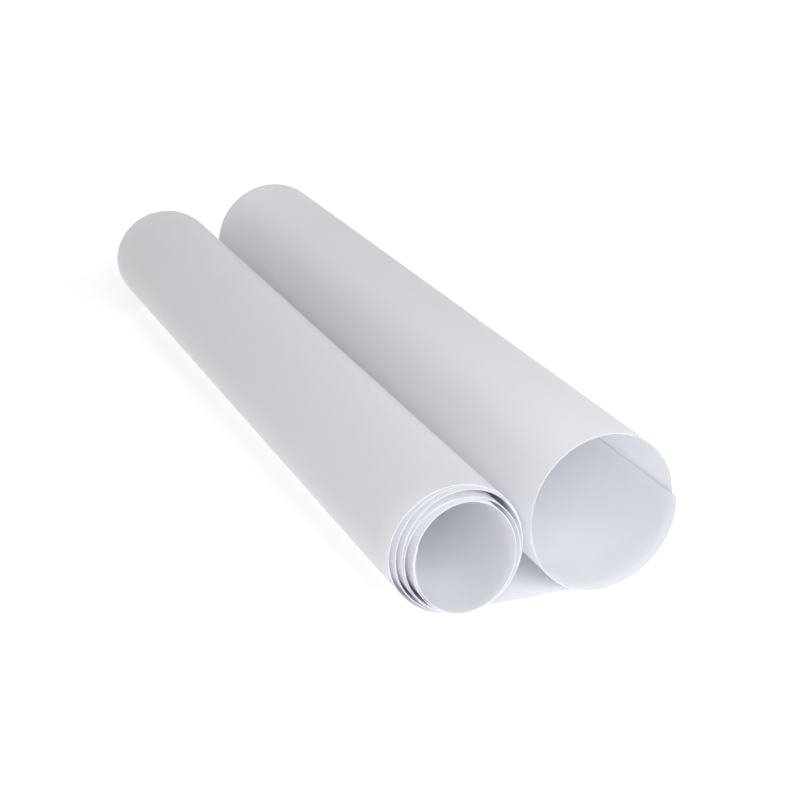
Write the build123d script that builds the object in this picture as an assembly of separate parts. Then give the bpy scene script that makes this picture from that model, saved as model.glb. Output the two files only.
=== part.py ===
from build123d import *
import os
from math import cos, degrees, radians, sin

# Backdrop paper roll: one long sheet of heavy paper, lying on a flat surface.
# A short flat stretch, the web, lies on the surface. Its left end winds up into
# a roll of nearly five turns, clockwise seen from the front, and its right end
# winds the other way into one wide loose curl. Both axes run along Y.
# The front is -Y, the surface is z = 0, and the origin is at the middle of the
# footprint.
#
# The first half turn of each roll is cut into narrow strips, one for each fold
# line, so that it can be laid out flat. What is wound beyond it keeps its curve.
# Each half turn is an arc that is tangent to the next one at the top or bottom.

# Driving dimensions, in millimetres and degrees
SHEET_WIDTH = 600.0  # length of the rolls
THICKNESS = 0.4
CENTRE_DISTANCE = 99.0  # from one roll's centre to the other's, the width of the web
# Outer face of the left roll, one radius for each half turn
LEFT_RADII = (43.5, 42.9, 42.3, 41.8, 41.3, 40.6, 38.9, 38.4, 37.0)
CORE_SWEEP = 300.0  # the innermost left turn keeps one radius over this angle
LEFT_STEP_OUT = (0.0, 1.0, 4.0, 5.5, 9.5)  # how far each left turn stands out at the front
RIGHT_RADII = (51.5, 50.7, 49.9)  # outer face, half turn, half turn, inner end
INNER_END_SWEEP = 98.0  # the right curl's overlap past the bottom
RIGHT_STEP_OUT = 7.2  # how far the right curl's inner end stands out at the front
FOLD_STEP = 10.0  # angle between two fold lines
FOLD_GAP = 0.1  # gap between two neighbouring stretches of the sheet

HALF_TURN = 180.0
FULL_TURN = 360.0
FOLDS = int(HALF_TURN / FOLD_STEP)

# Worked out from the driving dimensions
TOTAL_WIDTH = LEFT_RADII[0] + CENTRE_DISTANCE + RIGHT_RADII[0]
LEFT_X = LEFT_RADII[0] - TOTAL_WIDTH / 2
RIGHT_X = LEFT_X + CENTRE_DISTANCE
FRONT_Y = (LEFT_STEP_OUT[-1] - SHEET_WIDTH) / 2

# A roll is the place of its axis across the object, and the way it winds seen
# from the front: -1 is clockwise, 1 is anticlockwise.
LEFT_ROLL = (LEFT_X, -1)
RIGHT_ROLL = (RIGHT_X, 1)


def wind(radii):
    """Height of the centre of each half turn's arc, from the bottom upwards."""
    centres = []
    edge = 0.0
    side = 1
    for radius in radii:
        centres.append(edge + side * radius)
        edge += side * 2 * radius
        side = -side
    return centres


LEFT_CENTRES = wind(LEFT_RADII)
RIGHT_CENTRES = wind(RIGHT_RADII)


def arc(roll, radii, centres, index, start, end):
    """One arc of the sheet: roll, centre height, outer radius, and swept angles from the bottom."""
    return roll, centres[index], radii[index], start, end


def left_arc(index, start, end):
    return arc(LEFT_ROLL, LEFT_RADII, LEFT_CENTRES, index, start, end)


def right_arc(index, start, end):
    return arc(RIGHT_ROLL, RIGHT_RADII, RIGHT_CENTRES, index, start, end)


def point_on(roll, centre, radius, swept):
    """A point in the plane y = 0, at an angle swept from the bottom of a roll."""
    x, turn = roll
    angle = radians(-90.0 + turn * swept)
    return Vector(x + radius * cos(angle), 0, centre + radius * sin(angle))


def face_edges(arcs, depth):
    """Edges of one face of the sheet, depth below its outer face, joined by straight runs."""
    edges = []
    last = None
    for roll, centre, radius, start, end in arcs:
        places = (start, (start + end) / 2, end)
        points = [point_on(roll, centre, radius - depth, swept) for swept in places]
        if last is not None and (points[0] - last).length > FOLD_GAP:
            edges.append(Line(last, points[0]))
        edges.append(ThreePointArc(*points))
        last = points[-1]
    return edges


def stretch(arcs, step_out=0.0):
    """One stretch of the sheet: its cross-section along the arcs, extruded over the width."""
    outer = face_edges(arcs, 0.0)
    inner = face_edges(arcs, THICKNESS)
    start_edge = Line(outer[0] @ 0, inner[0] @ 0)
    end_edge = Line(outer[-1] @ 1, inner[-1] @ 1)
    section = make_face(outer + inner + [start_edge, end_edge])
    solid = extrude(section, amount=SHEET_WIDTH, dir=(0, 1, 0))
    return Pos(0, FRONT_Y - step_out, 0) * solid


def half_gap(radius):
    """Half of the gap between two stretches, as an angle."""
    return degrees(FOLD_GAP / 2 / radius)


def fold_angle(index):
    """Angle swept from the bottom to a fold line, in the middle of its step."""
    return (index + 0.5) * FOLD_STEP


def web():
    """The flat stretch on the surface, with a short lip up to the first fold on each side."""
    left_lip = left_arc(0, fold_angle(0) - half_gap(LEFT_RADII[0]), 0.0)
    right_lip = right_arc(0, 0.0, fold_angle(0) - half_gap(RIGHT_RADII[0]))
    return stretch([left_lip, right_lip])


def fold_strip(roll_arc, radius, index):
    """The narrow strip between two fold lines of the outermost half turn."""
    start = fold_angle(index) + half_gap(radius)
    end = fold_angle(index + 1) - half_gap(radius)
    return stretch([roll_arc(0, start, end)])


def rolled_half(roll_arc, radii):
    """From the last fold line over the top and down to the bottom, the second half turn."""
    lip = roll_arc(0, fold_angle(FOLDS - 1) + half_gap(radii[0]), HALF_TURN)
    half = roll_arc(1, HALF_TURN, FULL_TURN - half_gap(radii[1]))
    return stretch([lip, half])


def left_turn(number):
    """A whole turn inside the left roll, from the bottom round to the bottom."""
    first = 2 * (number - 1)
    up = left_arc(first, half_gap(LEFT_RADII[first]), HALF_TURN)
    down = left_arc(first + 1, HALF_TURN, FULL_TURN - half_gap(LEFT_RADII[first + 1]))
    return stretch([up, down], LEFT_STEP_OUT[number - 1])


def left_core_turn():
    """The innermost left turn: one round wall, open over the last part of its circle."""
    last = len(LEFT_RADII) - 1
    return stretch([left_arc(last, half_gap(LEFT_RADII[last]), CORE_SWEEP)], LEFT_STEP_OUT[-1])


def right_inner_end():
    """The right curl's free end, which overlaps its own first quarter on the inside."""
    last = len(RIGHT_RADII) - 1
    return stretch([right_arc(last, half_gap(RIGHT_RADII[last]), INNER_END_SWEEP)], RIGHT_STEP_OUT)


def sheet_length():
    """Length of the whole sheet laid flat, measured along its middle surface."""
    middle = THICKNESS / 2
    left = sum(radians(HALF_TURN) * (radius - middle) for radius in LEFT_RADII[:-1])
    core = radians(CORE_SWEEP) * (LEFT_RADII[-1] - middle)
    right = sum(radians(HALF_TURN) * (radius - middle) for radius in RIGHT_RADII[:-1])
    inner_end = radians(INNER_END_SWEEP) * (RIGHT_RADII[-1] - middle)
    return left + core + CENTRE_DISTANCE + right + inner_end


def build():
    """Every stretch of the sheet, by name."""
    nodes = {"web": web()}
    for index in range(FOLDS - 1):
        nodes[f"left_strip_{index + 1:02d}"] = fold_strip(left_arc, LEFT_RADII[0], index)
        nodes[f"right_strip_{index + 1:02d}"] = fold_strip(right_arc, RIGHT_RADII[0], index)
    nodes["left_turn_1"] = rolled_half(left_arc, LEFT_RADII)
    for number in range(2, len(LEFT_STEP_OUT)):
        nodes[f"left_turn_{number}"] = left_turn(number)
    nodes["left_core_turn"] = left_core_turn()
    nodes["right_turn_1"] = rolled_half(right_arc, RIGHT_RADII)
    nodes["right_inner_end"] = right_inner_end()
    return nodes


os.makedirs("parts", exist_ok=True)
for name, solid in build().items():
    export_step(solid, f"parts/{name}.step")
print(f"flat sheet {SHEET_WIDTH:.0f} x {sheet_length():.0f} mm")
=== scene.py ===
import math

import bpy
import numpy as np
from mathutils import Matrix, Vector


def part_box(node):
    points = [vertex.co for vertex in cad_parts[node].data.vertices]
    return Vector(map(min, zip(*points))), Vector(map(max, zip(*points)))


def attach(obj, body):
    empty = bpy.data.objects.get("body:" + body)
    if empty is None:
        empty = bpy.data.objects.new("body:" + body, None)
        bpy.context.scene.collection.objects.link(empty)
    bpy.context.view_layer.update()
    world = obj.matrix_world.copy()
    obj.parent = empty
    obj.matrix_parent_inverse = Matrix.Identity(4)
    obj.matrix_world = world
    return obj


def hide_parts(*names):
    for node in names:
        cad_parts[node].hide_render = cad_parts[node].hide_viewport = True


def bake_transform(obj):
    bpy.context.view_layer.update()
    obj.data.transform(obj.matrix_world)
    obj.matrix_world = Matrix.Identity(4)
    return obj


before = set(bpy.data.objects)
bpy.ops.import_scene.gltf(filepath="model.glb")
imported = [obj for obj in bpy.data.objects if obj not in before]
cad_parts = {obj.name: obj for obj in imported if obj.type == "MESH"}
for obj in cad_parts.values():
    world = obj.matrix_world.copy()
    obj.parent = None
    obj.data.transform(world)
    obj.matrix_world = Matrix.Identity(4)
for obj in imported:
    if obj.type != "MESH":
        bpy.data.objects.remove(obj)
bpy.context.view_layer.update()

# Backdrop paper roll: one sheet of heavy paper, wound into a tight roll on the left
# and into one loose curl on the right, with a short flat web between them.

MM = 0.001

# ---------------------------------------------------------------- places, from the CAD
web_low, web_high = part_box("web")
FRONT = web_low.y
WIDTH = web_high.y - web_low.y
PAPER = 0.4 * MM
CAD_RADIUS = {"left": 43.5 * MM, "right": 51.5 * MM}  # the outermost half turns
AXIS_X = {
    "left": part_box("left_strip_09")[0].x + CAD_RADIUS["left"],
    "right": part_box("right_strip_09")[1].x - CAD_RADIUS["right"],
}
TURN = {"left": -1, "right": 1}  # seen from the front: clockwise, anticlockwise
FOLD = 10  # degrees between two fold lines
HALF = 180
FULL = 360

# ---------------------------------------------------------------- camera
YAW, PITCH, ROLL = math.radians(-24.8), math.radians(22.2), math.radians(2.46)
LENS, SENSOR = 76.2, 36.0
CAMERA_PLACE = Vector((-0.4664, -1.0999, 0.5063))


def make_camera():
    back = Vector((math.sin(YAW) * math.cos(PITCH), -math.cos(YAW) * math.cos(PITCH), math.sin(PITCH)))
    right = Vector((math.cos(YAW), math.sin(YAW), 0.0))
    up = back.cross(right)
    across = math.cos(ROLL) * right + math.sin(ROLL) * up
    upward = -math.sin(ROLL) * right + math.cos(ROLL) * up
    data = bpy.data.cameras.new("camera")
    data.lens = LENS
    data.sensor_width = SENSOR
    data.clip_end = 100.0
    camera = bpy.data.objects.new("camera", data)
    turned = Matrix((across, upward, back)).transposed().to_4x4()
    camera.matrix_world = Matrix.Translation(CAMERA_PLACE) @ turned
    bpy.context.collection.objects.link(camera)
    bpy.context.scene.camera = camera


# ---------------------------------------------------------------- the sheet's cross-section
# The sheet leaves the web round, then each turn is an oval. One line for each oval: the swept angle
# where the sheet has come to it, half its width, half its height, and its centre's place across
# and above the surface, in millimetres.
OVALS = {
    "left": [
        (70, 44.4, 42.7, 0.2, 42.8),
        (180, 44.4, 42.7, 0.2, 42.8),
        (540, 41.5, 41.8, 2.1, 42.9),
        (900, 39.9, 41.0, 3.1, 42.7),
        (1260, 38.6, 38.3, 2.4, 41.1),
        (1560, 34.0, 37.6, 2.0, 41.0),
    ],
    "right": [
        (70, 51.4, 52.1, 0.0, 52.1),
        (240, 51.4, 52.1, 0.0, 52.1),
        (380, 50.4, 49.2, -0.2, 50.5),
    ],
}
LEAN = {"left": -1.0, "right": 0.0}  # how far the ovals lean to one diagonal, in millimetres
ROUND_START = 70  # swept angle over which the lean comes in
TUCK, TUCK_START, TUCK_END = 0.7, 1720, 1860  # the left inner end closes in over these swept angles
# How far each turn stands out at the front, in millimetres
STEP_OUT = {"left": (0.0, 1.0, 4.0, 5.5, 9.5), "right": (0.0, 7.2)}
LAST = {"left": 5 * FULL + 110, "right": 458}  # swept angle where the sheet ends
TAPER = {"left": 0.012, "right": -0.006}  # growth of the section from the front to the far end
WAVE = 0.12 * MM  # height of the sheet's slow unevenness
WAVE_TURNS = 4.0  # radians of it from the front to the far end
WAVE_START = 90  # swept angle over which it comes in


def smooth(t):
    t = np.clip(t, 0.0, 1.0)
    return t * t * (3.0 - 2.0 * t)


def oval(side, swept):
    """Half width, half height and centre of the oval at each swept angle, eased from one line to the next."""
    radius = CAD_RADIUS[side] / MM
    knots = np.array([(0, radius, radius, 0.0, radius)] + OVALS[side], float)
    angles, rows = knots[:, 0], knots[:, 1:]
    i = np.clip(np.searchsorted(angles, swept, side="right") - 1, 0, len(knots) - 2)
    share = smooth((swept - angles[i]) / (angles[i + 1] - angles[i]))[..., None]
    eased = rows[i] * (1.0 - share) + rows[i + 1] * share
    half_width, half_height, across, centre = np.moveaxis(eased, -1, 0)
    tuck = TUCK * smooth((swept - TUCK_START) / (TUCK_END - TUCK_START))
    return half_width - tuck, half_height - tuck, across, centre


def section(side, swept):
    """Outer face of the sheet at each swept angle from the bottom: x from the roll's axis, and z."""
    half_width, half_height, across, centre = oval(side, swept)
    angle = np.radians(swept)
    lean = LEAN[side] * smooth(swept / ROUND_START)
    skew = -TURN[side] * lean * np.sin(2.0 * angle)
    x = across + TURN[side] * (half_width + skew) * np.sin(angle)
    z = centre - (half_height + skew) * np.cos(angle)
    return x * MM, z * MM


def second_half_share(side, swept):
    """How far a point in a turn's second half has come down, eased, from 0 at its top to 1 at its bottom."""
    turn = np.floor(swept / FULL) * FULL
    top = section(side, turn + HALF)[1]
    bottom = section(side, turn + FULL)[1]
    height = section(side, swept)[1]
    return np.where(swept - turn > HALF, smooth((top - height) / (top - bottom)), 0.0)


def stand_out(side, swept):
    """How far the sheet's front edge stands out: each turn's step is made on the way down its second half."""
    steps = np.array(STEP_OUT[side] + STEP_OUT[side][-1:])
    turn = np.minimum(swept // FULL, len(STEP_OUT[side]) - 1).astype(int)
    step = steps[turn] + (steps[turn + 1] - steps[turn]) * second_half_share(side, swept)
    return step * MM


def sheet_point(side, swept, along):
    """Outer face of the sheet at a swept angle and a share of its width, 0 at the front, 1 at the far end."""
    swept, along = np.broadcast_arrays(np.asarray(swept, float), np.asarray(along, float))
    x, z = section(side, swept)
    growth = 1.0 + TAPER[side] * along
    lift = WAVE * np.sin(WAVE_TURNS * along + np.radians(swept)) * smooth(swept / WAVE_START)
    out_x = TURN[side] * np.sin(np.radians(swept))
    out_z = -np.cos(np.radians(swept))
    y = FRONT + along * WIDTH - stand_out(side, swept)
    return np.stack([AXIS_X[side] + x * growth + lift * out_x, y, z * growth + lift * out_z], -1)


SMALL_ANGLE = 0.05
SMALL_SHARE = 0.001


def sheet_normal(side, swept, along):
    """Outward normal there, from small steps either way."""
    by_angle = sheet_point(side, swept + SMALL_ANGLE, along) - sheet_point(side, swept - SMALL_ANGLE, along)
    by_width = sheet_point(side, swept, along + SMALL_SHARE) - sheet_point(side, swept, along - SMALL_SHARE)
    normal = np.cross(by_angle, by_width) * -TURN[side]
    return normal / np.linalg.norm(normal, axis=-1, keepdims=True)


# ---------------------------------------------------------------- meshes
ROWS = 41  # rows of points across the sheet's width, and along the web
CROWDING = 0.08  # how much closer together the rows are near both ends
STEP = 2.0  # degrees between two rows of points round a roll
FINE_STEP = 0.5  # degrees between two points where a length is measured


def shares_along():
    """Rows across the sheet's width, closer together near both ends."""
    t = np.linspace(0.0, 1.0, ROWS)
    return t - CROWDING * np.sin(2.0 * math.pi * t)


def shell(name, outer, normal, paper_uv):
    """A closed sheet of paper, from its outer face's grid, the normals there and the flat sheet's places."""
    across, along = outer.shape[:2]
    inner = outer - normal * PAPER
    points = np.concatenate([outer.reshape(-1, 3), inner.reshape(-1, 3)])
    vertex_normals = np.concatenate([normal.reshape(-1, 3), -normal.reshape(-1, 3)])
    flat = np.concatenate([paper_uv.reshape(-1, 2)] * 2)
    index = np.arange(across * along).reshape(across, along)
    under = index + across * along
    a, b, c, d = index[:-1, :-1], index[1:, :-1], index[1:, 1:], index[:-1, 1:]
    top = np.stack([a, b, c, d], -1).reshape(-1, 4)
    bottom = np.stack([d, c, b, a], -1).reshape(-1, 4) + across * along
    rims = []
    for edge, below in (
        (index[:, 0], under[:, 0]),
        (index[-1, :], under[-1, :]),
        (index[::-1, -1], under[::-1, -1]),
        (index[0, ::-1], under[0, ::-1]),
    ):
        rims.append(np.stack([edge[1:], edge[:-1], below[:-1], below[1:]], -1))
    faces = np.concatenate([top, bottom] + rims)
    a, b, c = points[top[0, :3]]
    if np.dot(np.cross(b - a, c - a), normal[0, 0]) < 0.0:
        faces = faces[:, ::-1]
    mesh = bpy.data.meshes.new(name)
    mesh.from_pydata(points.tolist(), [], faces.tolist())
    face_count = len(top) + len(bottom)
    corner_normals = vertex_normals[faces]
    a, b, c = np.moveaxis(points[faces[face_count:, :3]], 1, 0)
    rim_normal = np.cross(b - a, c - a)
    rim_normal /= np.linalg.norm(rim_normal, axis=-1, keepdims=True)
    corner_normals[face_count:] = rim_normal[:, None, :]
    mesh.polygons.foreach_set("use_smooth", [True] * len(faces))
    uv = mesh.uv_layers.new(name="flat_sheet")
    uv.data.foreach_set("uv", flat[faces.ravel()].ravel())
    cut = mesh.attributes.new("cut_edge", "FLOAT", "FACE")
    cut.data.foreach_set("value", [0.0] * face_count + [1.0] * (len(faces) - face_count))
    mesh.normals_split_custom_set(corner_normals.reshape(-1, 3).tolist())
    piece = bpy.data.objects.new(name, mesh)
    bpy.context.collection.objects.link(piece)
    return piece


def arc_length(side, swept):
    """Length of the sheet from the bottom of the roll to each swept angle, at the front."""
    fine = np.arange(0.0, LAST[side] + 1.0, FINE_STEP)
    x, z = section(side, fine)
    run = np.concatenate([[0.0], np.cumsum(np.hypot(np.diff(x), np.diff(z)))])
    return np.interp(swept, fine, run)


def rolled(name, side, start, end):
    """The stretch of the sheet between two swept angles, and its length."""
    swept = np.linspace(start, end, int(round((end - start) / STEP)) + 1)
    along = shares_along()
    grid_swept, grid_along = np.meshgrid(swept, along, indexing="ij")
    outer = sheet_point(side, grid_swept, grid_along)
    normal = sheet_normal(side, grid_swept, grid_along)
    run = arc_length(side, grid_swept)
    web = AXIS_X["right"] - AXIS_X["left"]
    paper_u = -run if side == "left" else web + run
    piece = shell(name, outer, normal, np.stack([paper_u, grid_along * WIDTH], -1))
    return piece, float(run[-1, 0] - run[0, 0])


def flat_web():
    """The flat stretch between the two rolls, and its length."""
    share = np.linspace(0.0, 1.0, ROWS)
    along = shares_along()
    grid_share, grid_along = np.meshgrid(share, along, indexing="ij")
    length = AXIS_X["right"] - AXIS_X["left"]
    x = AXIS_X["left"] + grid_share * length
    y = FRONT + grid_along * WIDTH
    outer = np.stack([x, y, np.zeros_like(x)], -1)
    normal = np.broadcast_to([0.0, 0.0, -1.0], outer.shape)
    piece = shell("web_sheet", outer, normal, np.stack([grid_share * length, grid_along * WIDTH], -1))
    return piece, length


# ---------------------------------------------------------------- paper
TINT_DARK = (0.945, 0.948, 0.962, 1.0)
TINT_LIGHT = (0.950, 0.953, 0.966, 1.0)
# painted shade: the cut edges are coloured darker than the faces to tone down the light falling on them
EDGE_SHADE_COLOUR = (0.70, 0.70, 0.73, 1.0)
CLOUD_SCALE, CLOUD_DETAIL = 55.0, 3.0  # the mottling
FIBRE_SCALE, FIBRE_DETAIL, FIBRE_ROUGHNESS = 900.0, 5.0, 0.6  # the tooth
NOISE_LOW, NOISE_HIGH = 0.3, 0.7  # the part of a noise's range that is used
SMOOTHEST, ROUGHEST = 0.72, 0.88
TOOTH_STRENGTH, TOOTH_HEIGHT = 0.35, 0.08 * MM
GLOSS = 0.25
LET_THROUGH = 0.27  # share of the light at each face that goes through


def paper_material():
    """Heavy matt paper: soft mottling, a fibrous tooth, painted shade on the cut edges, and some light let
    through.
    """
    material = bpy.data.materials.new("paper")
    material.use_nodes = True
    tree = material.node_tree
    nodes, links = tree.nodes, tree.links
    nodes.clear()

    def node(kind, **settings):
        made = nodes.new(kind)
        for key, value in settings.items():
            setattr(made, key, value)
        return made

    flat = node("ShaderNodeUVMap", uv_map="flat_sheet")
    fibres = node("ShaderNodeTexNoise", noise_dimensions="2D")
    fibres.inputs["Scale"].default_value = FIBRE_SCALE
    fibres.inputs["Detail"].default_value = FIBRE_DETAIL
    fibres.inputs["Roughness"].default_value = FIBRE_ROUGHNESS
    cloud = node("ShaderNodeTexNoise", noise_dimensions="2D")
    cloud.inputs["Scale"].default_value = CLOUD_SCALE
    cloud.inputs["Detail"].default_value = CLOUD_DETAIL
    links.new(flat.outputs["UV"], fibres.inputs["Vector"])
    links.new(flat.outputs["UV"], cloud.inputs["Vector"])

    tint = node("ShaderNodeValToRGB")
    tint.color_ramp.elements[0].position = NOISE_LOW
    tint.color_ramp.elements[0].color = TINT_DARK
    tint.color_ramp.elements[1].position = NOISE_HIGH
    tint.color_ramp.elements[1].color = TINT_LIGHT
    links.new(cloud.outputs["Fac"], tint.inputs["Fac"])

    cut = node("ShaderNodeAttribute", attribute_name="cut_edge")
    mixed = node("ShaderNodeMix", data_type="RGBA")
    factor = mixed.inputs[0]
    face_colour, edge_shade_colour = mixed.inputs[6:8]
    colour = mixed.outputs[2]
    # the cut edge faces get the darker painted-shade colour
    edge_shade_colour.default_value = EDGE_SHADE_COLOUR
    links.new(cut.outputs["Fac"], factor)
    links.new(tint.outputs["Color"], face_colour)

    rough = node("ShaderNodeMapRange")
    rough.inputs["From Min"].default_value = NOISE_LOW
    rough.inputs["From Max"].default_value = NOISE_HIGH
    rough.inputs["To Min"].default_value = SMOOTHEST
    rough.inputs["To Max"].default_value = ROUGHEST
    links.new(fibres.outputs["Fac"], rough.inputs["Value"])

    tooth = node("ShaderNodeBump")
    tooth.inputs["Strength"].default_value = TOOTH_STRENGTH
    tooth.inputs["Distance"].default_value = TOOTH_HEIGHT
    links.new(fibres.outputs["Fac"], tooth.inputs["Height"])

    surface = node("ShaderNodeBsdfPrincipled")
    surface.inputs["Specular IOR Level"].default_value = GLOSS
    links.new(colour, surface.inputs["Base Color"])
    links.new(rough.outputs["Result"], surface.inputs["Roughness"])
    links.new(tooth.outputs["Normal"], surface.inputs["Normal"])

    through = node("ShaderNodeBsdfTranslucent")
    links.new(colour, through.inputs["Color"])
    links.new(tooth.outputs["Normal"], through.inputs["Normal"])

    mix = node("ShaderNodeMixShader")
    mix.inputs["Fac"].default_value = LET_THROUGH
    links.new(surface.outputs["BSDF"], mix.inputs[1])
    links.new(through.outputs["BSDF"], mix.inputs[2])
    output = node("ShaderNodeOutputMaterial")
    links.new(mix.outputs["Shader"], output.inputs["Surface"])
    return material


CHAIN = {  # the bodies of each roll, from the outermost turn inwards
    "left": ["left_turn_1", "left_turn_2", "left_turn_3", "left_turn_4", "left_core_turn"],
    "right": ["right_turn_1", "right_inner_end"],
}
FOLDS = HALF // FOLD


def wear(piece, material):
    piece.data.materials.append(material)


def make_first_half(side, material):
    """The outermost half turn: one short piece across each fold line."""
    strips = []
    body = "web"
    for i in range(FOLDS):
        start, end = i * FOLD, (i + 1) * FOLD
        piece, _ = rolled(f"{side}_sheet_{i:02d}", side, start, end)
        next_body = f"{side}_strip_{i + 1:02d}" if i + 1 < FOLDS else CHAIN[side][0]
        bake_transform(piece)
        if i:
            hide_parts(body)
        wear(piece, material)
        strips.append(piece)
        body = next_body
    return strips


def make_turns(side, material):
    """The rest of the roll: half turns that ride, and half turns that join one turn to the next."""
    chain = CHAIN[side]
    for number, (body, next_body) in enumerate(zip(chain, chain[1:])):
        first = number * FULL
        if number:
            piece, length = rolled(f"{body}_first_half", side, first, first + HALF)
            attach(piece, body)
            wear(piece, material)
        piece, length = rolled(f"{body}_second_half", side, first + HALF, first + FULL)
        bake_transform(piece)
        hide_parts(body)
        wear(piece, material)
    body = chain[-1]
    piece, length = rolled(f"{body}_sheet", side, (len(chain) - 1) * FULL, LAST[side])
    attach(piece, body)
    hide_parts(body)
    wear(piece, material)


def make_sheet(material):
    web, web_length = flat_web()
    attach(web, "web")
    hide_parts("web")
    wear(web, material)
    strips = []
    for side in ("left", "right"):
        strips += make_first_half(side, material)
        make_turns(side, material)


# ---------------------------------------------------------------- floor and light
WHITE = (1.0, 1.0, 1.0)
COOL = (0.94, 0.955, 1.0)
FLOOR_REACH, FLOOR_ROWS = 60.0, 25
FLOOR_HEIGHT = -2.0 * MM  # clear of the sheet's unevenness when it is laid out flat
FLOOR_COLOUR = (0.6, 0.6, 0.6, 1.0)
FLOOR_ROUGHNESS = 0.9
UNDER_GLOW = 0.22  # the floor's own light under the web
NEAR_GLOW = 0.57  # and round the object
FAR_GLOW = 0.5  # added further out, so that the floor stays white up to the horizon
NEAR_RANGE = (-0.02, -0.004)  # distances from the web's outline, metres
FAR_RANGE = (0.08, 0.8)
SKY_GLOW, HORIZON_GLOW = 0.05, 1.0
HORIZON_RANGE = (0.03, 0.1)  # heights in the sky between which it fades
LIGHT_BOUNCES = 12  # light has to reach deep into the rolls


def math_node(tree, operation, first, second=None):
    """One sum: first is an output, second an output or a number."""
    made = tree.nodes.new("ShaderNodeMath")
    made.operation = operation
    tree.links.new(first, made.inputs[0])
    if isinstance(second, float):
        made.inputs[1].default_value = second
    elif second is not None:
        tree.links.new(second, made.inputs[1])
    return made.outputs["Value"]


def ramp(tree, value, start, end, low, high):
    """Goes from low to high as the value goes from start to end."""
    made = tree.nodes.new("ShaderNodeMapRange")
    for name, number in (("From Min", start), ("From Max", end), ("To Min", low), ("To Max", high)):
        made.inputs[name].default_value = number
    tree.links.new(value, made.inputs["Value"])
    return made.outputs["Result"]


def place_parts(tree, kind):
    """Separate X, Y and Z of a texture coordinate."""
    place = tree.nodes.new("ShaderNodeTexCoord")
    split = tree.nodes.new("ShaderNodeSeparateXYZ")
    tree.links.new(place.outputs[kind], split.inputs["Vector"])
    return split.outputs


def floor_material():
    """White and softly glowing, less so right under the web."""
    material = bpy.data.materials.new("floor")
    material.use_nodes = True
    tree = material.node_tree
    shader = tree.nodes["Principled BSDF"]
    shader.inputs["Base Color"].default_value = FLOOR_COLOUR
    shader.inputs["Roughness"].default_value = FLOOR_ROUGHNESS
    shader.inputs["Emission Color"].default_value = (*WHITE, 1.0)
    parts = place_parts(tree, "Object")
    distances = []
    for axis, low, high in (("X", web_low.x, web_high.x), ("Y", web_low.y, web_high.y)):
        shifted = math_node(tree, "SUBTRACT", parts[axis], (low + high) / 2)
        distances.append(math_node(tree, "SUBTRACT", math_node(tree, "ABSOLUTE", shifted), (high - low) / 2))
    outside = math_node(tree, "MAXIMUM", *distances)
    near = ramp(tree, outside, *NEAR_RANGE, UNDER_GLOW, NEAR_GLOW)
    far = ramp(tree, outside, *FAR_RANGE, 0.0, FAR_GLOW)
    tree.links.new(math_node(tree, "ADD", near, far), shader.inputs["Emission Strength"])
    return material


def make_floor():
    mesh = bpy.data.meshes.new("floor")
    line = np.linspace(-FLOOR_REACH, FLOOR_REACH, FLOOR_ROWS)
    x, y = np.meshgrid(line, line, indexing="ij")
    points = np.stack([x, y, np.full_like(x, FLOOR_HEIGHT)], -1).reshape(-1, 3)
    index = np.arange(FLOOR_ROWS**2).reshape(FLOOR_ROWS, FLOOR_ROWS)
    faces = np.stack([index[:-1, :-1], index[1:, :-1], index[1:, 1:], index[:-1, 1:]], -1).reshape(-1, 4)
    mesh.from_pydata(points.tolist(), [], faces.tolist())
    mesh.materials.append(floor_material())
    floor = bpy.data.objects.new("floor", mesh)
    bpy.context.collection.objects.link(floor)


def area_light(name, place, aim, size, power, colour=WHITE):
    data = bpy.data.lights.new(name, "AREA")
    data.color = colour
    data.shape = "SQUARE"
    data.size = size
    data.energy = power
    light = bpy.data.objects.new(name, data)
    light.location = place
    light.rotation_euler = (Vector(aim) - Vector(place)).to_track_quat("-Z", "Y").to_euler()
    bpy.context.collection.objects.link(light)


def make_world():
    """White at the horizon, and nearly no light from the sky."""
    world = bpy.data.worlds.new("studio")
    world.use_nodes = True
    tree = world.node_tree
    background = tree.nodes["Background"]
    background.inputs["Color"].default_value = (*WHITE, 1.0)
    height = place_parts(tree, "Generated")["Z"]
    strength = ramp(tree, height, *HORIZON_RANGE, HORIZON_GLOW, SKY_GLOW)
    tree.links.new(strength, background.inputs["Strength"])
    bpy.context.scene.world = world


def make_light():
    """Soft boxes round the object. Each has its place, its aim, its side in metres and its power in watts."""
    middle = (0.0, 0.0, 0.0)
    mouths = (0.03, -0.25, 0.05)
    area_light("above", (0.0, 0.0, 2.3), middle, 1.6, 16.0)
    area_light("key", (0.1, -1.5, 1.7), (0.0, -0.3, 0.0), 1.0, 5.0)
    area_light("behind", (0.0, 2.0, 1.2), middle, 1.6, 12.0)
    area_light("before", (0.15, -2.0, 0.4), mouths, 1.4, 45.0, COOL)
    area_light("front_left", (-0.75, -1.9, 0.8), mouths, 1.2, 9.0, COOL)
    area_light("right", (1.9, 0.0, 1.2), middle, 1.6, 6.0)
    area_light("left", (-1.9, 0.0, 1.2), middle, 1.6, 1.5)
    bpy.context.scene.cycles.diffuse_bounces = LIGHT_BOUNCES
    bpy.context.scene.view_settings.view_transform = "Standard"


make_camera()
make_sheet(paper_material())
make_floor()
make_world()
make_light()
